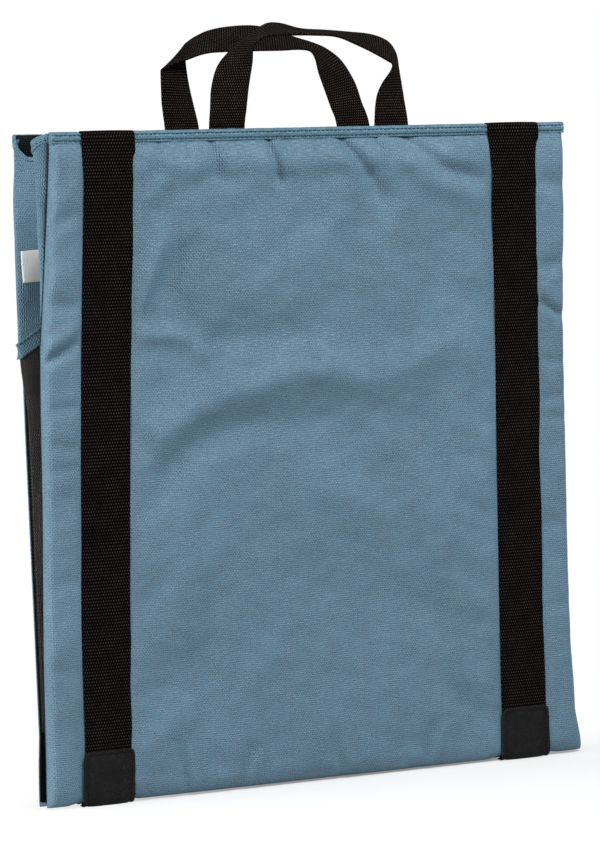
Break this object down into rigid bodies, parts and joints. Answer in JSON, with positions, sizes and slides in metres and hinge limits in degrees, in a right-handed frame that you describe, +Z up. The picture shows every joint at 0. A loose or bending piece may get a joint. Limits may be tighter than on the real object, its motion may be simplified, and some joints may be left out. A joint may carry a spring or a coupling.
{
  "type": "folding tote",
  "caption": "Flat-folding padded tote with soft folding side gussets, wide webbing bands, leather patches at the foot and a webbing handle on each panel.",
  "frame": {"origin": "centre of the bounding box at the floor, below the bottom fold", "axes": "+Z up, +X along the panels to the right, -Y out of the front panel"},
  "size_m": [0.391, 0.0944, 0.5176],
  "materials": {
    "shell_fabric": "fine plain weave nylon, padded, steel blue",
    "lining_fabric": "soft black lining",
    "gusset_fabric": "soft black gusset fabric",
    "binding_fabric": "folded binding with stitch rows",
    "band_webbing": "ribbed dark brown webbing",
    "handle_webbing": "ribbed dark brown webbing",
    "patch_leather": "grained black leather",
    "foam_fill": "soft foam",
    "stiff_board": "plain stiffener sheet",
    "tag_fabric": "blank woven tag"
  },
  "bodies": {
    "front_panel": {"front_cover": "shell_fabric", "front_foam": "foam_fill", "front_board": "stiff_board", "front_lining": "lining_fabric", "front_hem": "binding_fabric", "front_handle_tabs": "handle_webbing", "front_band_left": "band_webbing", "front_band_right": "band_webbing", "front_patch_left": "patch_leather", "front_patch_right": "patch_leather", "front_seam_tape_left": "lining_fabric", "front_seam_tape_right": "lining_fabric", "base_strip": "shell_fabric"},
    "rear_panel": {"rear_cover": "shell_fabric", "rear_foam": "foam_fill", "rear_board": "stiff_board", "rear_lining": "lining_fabric", "rear_hem": "binding_fabric", "rear_handle_tabs": "handle_webbing", "rear_band_left": "band_webbing", "rear_band_right": "band_webbing", "rear_patch_left": "patch_leather", "rear_patch_right": "patch_leather", "rear_seam_tape_left": "lining_fabric", "rear_seam_tape_right": "lining_fabric"},
    "front_loop": {"front_handle": "handle_webbing"},
    "rear_loop": {"rear_handle": "handle_webbing"},
    "left_front_leaf": {"left_front_gusset": "gusset_fabric", "left_front_yoke": "shell_fabric", "left_front_yoke_hem": "shell_fabric", "left_front_binding": "binding_fabric"},
    "left_rear_leaf": {"left_rear_gusset": "gusset_fabric", "left_rear_yoke": "shell_fabric", "left_rear_yoke_hem": "shell_fabric", "left_rear_binding": "binding_fabric", "side_tag": "tag_fabric"},
    "right_front_leaf": {"right_front_gusset": "gusset_fabric", "right_front_yoke": "shell_fabric", "right_front_yoke_hem": "shell_fabric", "right_front_binding": "binding_fabric"},
    "right_rear_leaf": {"right_rear_gusset": "gusset_fabric", "right_rear_yoke": "shell_fabric", "right_rear_yoke_hem": "shell_fabric", "right_rear_binding": "binding_fabric"}
  },
  "joints": [
    {"name": "panel_fold", "type": "hinge", "parent": "front_panel", "child": "rear_panel", "pos_m": [0, 0.0025, 0.00253], "axis": [-1, 0, 0], "range_deg": [-7, 12]},
    {"name": "front_handle_swing", "type": "hinge", "parent": "front_panel", "child": "front_loop", "pos_m": [0, -0.03988, 0.44496], "axis": [1, 0, 0], "range_deg": [-5, 100]},
    {"name": "rear_handle_swing", "type": "hinge", "parent": "rear_panel", "child": "rear_loop", "pos_m": [0, 0.03988, 0.44496], "axis": [-1, 0, 0], "range_deg": [-5, 100]},
    {"name": "left_front_leaf_fold", "type": "hinge", "parent": "front_panel", "child": "left_front_leaf", "pos_m": [-0.1936, -0.00031, 0.0027], "axis": [0.0225, -0.0784, 0.9967], "range_deg": [-15.4, 26.4]},
    {"name": "left_rear_leaf_fold", "type": "hinge", "parent": "rear_panel", "child": "left_rear_leaf", "pos_m": [-0.1936, 0.00031, 0.0027], "axis": [-0.0225, -0.0784, -0.9967], "range_deg": [-15.4, 26.4]},
    {"name": "right_front_leaf_fold", "type": "hinge", "parent": "front_panel", "child": "right_front_leaf", "pos_m": [0.1936, -0.00031, 0.0027], "axis": [0.0225, 0.0784, -0.9967], "range_deg": [-15.4, 26.4]},
    {"name": "right_rear_leaf_fold", "type": "hinge", "parent": "rear_panel", "child": "right_rear_leaf", "pos_m": [0.1936, 0.00031, 0.0027], "axis": [-0.0225, 0.0784, 0.9967], "range_deg": [-15.4, 26.4]}
  ],
  "couplings": [
    {"joint": "left_front_leaf_fold", "follows": "panel_fold", "ratio": 2.2},
    {"joint": "left_rear_leaf_fold", "follows": "panel_fold", "ratio": 2.2},
    {"joint": "right_front_leaf_fold", "follows": "panel_fold", "ratio": 2.2},
    {"joint": "right_rear_leaf_fold", "follows": "panel_fold", "ratio": 2.2}
  ]
}
